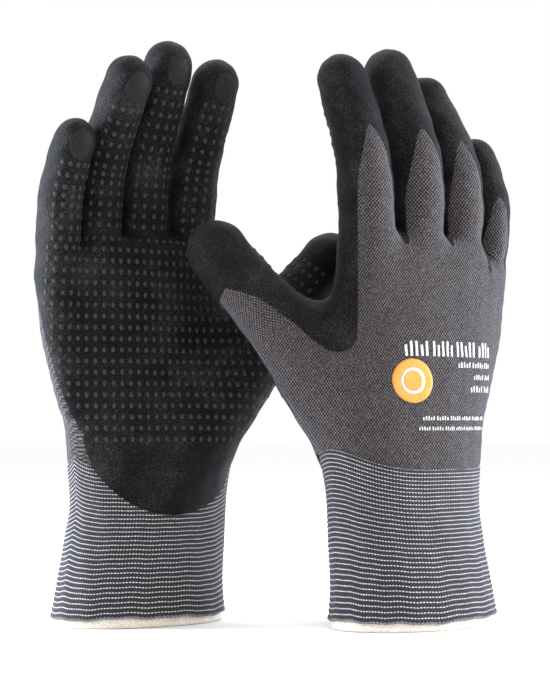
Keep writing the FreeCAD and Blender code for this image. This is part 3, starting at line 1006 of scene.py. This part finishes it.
def make_skin():
    """The skin of one glove, cut into knit and coating and into the hand and the stalls' lower and upper
    parts.
    """
    points, quads = surface_net(*SKIN_BOX, GRID)
    points, normal = relax(points, quads)
    points = points + normal * uneven(points)[:, None]
    tris = np.vstack([quads[:, [0, 1, 2]], quads[:, [0, 2, 3]]])
    (points, tris), _ = clip(points, tris, points[:, 2] - SKIN_FOOT)
    coat, knit = clip(points, tris, dip_field(points, unit(skin_gradient(points))))
    coat, knit = split_stalls(*coat), split_stalls(*knit)
    for part in coat:
        covered = len(knit[part][1]) < 6  # no knit shows
        make_sheet("coat", part, *coat[part], covered)
        if not covered:
            make_sheet("knit", part, *knit[part])


def make_sheet(kind, part, points, tris, covered=False):
    """A closed sheet of coating or knit. A coating that hides all the knit below it stands for that too."""
    normal = unit(skin_gradient(points))
    facing = uneven_normal(points, normal)
    facing = np.vstack([facing, -facing])
    if kind == "coat":
        out = COAT_LIFT[0] + COAT_LIFT[1] * np.clip(dip_field(points, normal) / 1.3, 0, 1)
        nodes = ["palm_coat"] if part == "hand" else [f"{part}_coat"]
        if covered:
            nodes.append(f"{part}_liner")
        make(f"{part}_dip", part, shell(points, tris, normal, out, SHEET), "coat", "black_foam", nodes,
             facing=facing)
        return
    out = 0.0
    if part == "hand":  # the knit dives under the cuff below the top stripe
        cx, cy, _, _ = tube_at(points[:, 2])
        turn = np.arctan2(points[:, 1] - cy, points[:, 0] - cx)
        out = -0.75 * np.clip((cuff_top(turn) + 0.4 - points[:, 2]) / 1.6, 0, 1)
    weave = knit_coords(points, part)
    make(f"{part}_knit", part, shell(points, tris, normal, out, SHEET), "knit", "grey_knit",
         [f"{part}_liner"], facing=facing, weave=np.vstack([weave, weave]))


def make_dots():
    """The rows of small domes on the coating."""
    for part, (p, n, up) in dot_places().items():
        if len(p):
            make(f"{part}_dots", part, domes(p + n * DOT_FOOT, n, up, *DOT_SIZE), "dots", "black_foam")


def make_materials():
    """The gloves' materials, by the names that the pieces use."""
    return {
        "knit": knit_material(), "coat": coat_material(), "cuff": cuff_material(),
        "dots": rubber_material("grey_grip_dots", (0.006, 0.006, 0.0055), (0.052, 0.050, 0.046)),
        "pad": rubber_material("fingertip_pads", (0.003, 0.003, 0.003), (0.021, 0.020, 0.018)),
        # the yarns' darker colours are painted shade between their fibres
        "lining": yarn_material("cream_lining_knit", (0.52, 0.46, 0.37), (0.88, 0.81, 0.70)),
        "hem": yarn_material("hem_yarn", (0.07, 0.07, 0.085), (0.24, 0.235, 0.25)),
        "white": print_material("white_print_ink", (0.56, 0.55, 0.53), (0.16, 0.15, 0.15)),
        "orange": print_material("orange_print_ink", (0.62, 0.27, 0.035), (0.30, 0.14, 0.05)),
    }


# ---------------------------------------------------------------- studio
def turned(azimuth, elevation, distance):
    """A place seen from the origin: azimuth in degrees from -Y towards +X, elevation in degrees."""
    a, e = math.radians(azimuth), math.radians(elevation)
    return Vector((math.sin(a) * math.cos(e), -math.cos(a) * math.cos(e), math.sin(e))) * distance


def aim_at(thing, aim):
    thing.rotation_euler = (aim - thing.location).to_track_quat("-Z", "Y").to_euler()


def make_studio():
    """A pale floor, soft lights, and the camera at the photograph's angle."""
    scene = bpy.context.scene
    mesh = bpy.data.meshes.new("floor")
    r = 6.0
    mesh.from_pydata([(-r, -r, 0), (r, -r, 0), (r, r, 0), (-r, r, 0)], [], [(0, 1, 2, 3)])
    floor = bpy.data.objects.new("floor", mesh)
    scene.collection.objects.link(floor)
    floor.location.z = -0.0002
    material, _, shader = new_material("pale_floor", 0.9, 0.1)
    shader.inputs["Base Color"].default_value = (0.97, 0.97, 0.97, 1)
    mesh.materials.append(material)
    world = bpy.data.worlds.new("studio")
    scene.world = world
    world.use_nodes = True
    background = world.node_tree.nodes["Background"]
    background.inputs[0].default_value = (1, 1, 1, 1)
    background.inputs[1].default_value = 1.0
    scene.view_settings.view_transform = "Standard"

    def light(name, azimuth, elevation, distance, size, power, colour=(1, 1, 1)):
        lamp = bpy.data.lights.new(name, "AREA")
        lamp.energy, lamp.size, lamp.color = power, size, colour
        lit = bpy.data.objects.new(name, lamp)
        scene.collection.objects.link(lit)
        middle = Vector((0, 0, 0.13))
        lit.location = middle + turned(azimuth, elevation, distance)
        aim_at(lit, middle)

    pale_blue = (0.80, 0.86, 1.0)
    light("key", -20, 40, 1.2, 0.7, 4)
    light("rim_left", -128, 12, 0.9, 0.4, 26, pale_blue)
    light("rim_right", 62, 12, 0.9, 0.4, 16, pale_blue)
    light("top", 150, 60, 1.2, 0.7, 6)

    distance, seen_height = 0.80, 0.2935  # of the camera, and of what it sees at that distance
    camera = bpy.data.cameras.new("camera")
    camera.sensor_fit = "VERTICAL"
    camera.sensor_height = 24
    camera.lens = camera.sensor_height * distance / seen_height
    eye = bpy.data.objects.new("camera", camera)
    scene.collection.objects.link(eye)
    eye.location = turned(-33, 0, distance) + Vector((0, 0, 0.085))
    aim_at(eye, Vector((0, 0, 0.1235)))
    scene.camera = eye


make_studio()
make_skin()
make_dots()
make_cuff()
make_print()
make_pads()
MATERIALS = make_materials()
for glove_name in GLOVES:
    for item in PIECES:
        place(item, glove_name, MATERIALS)
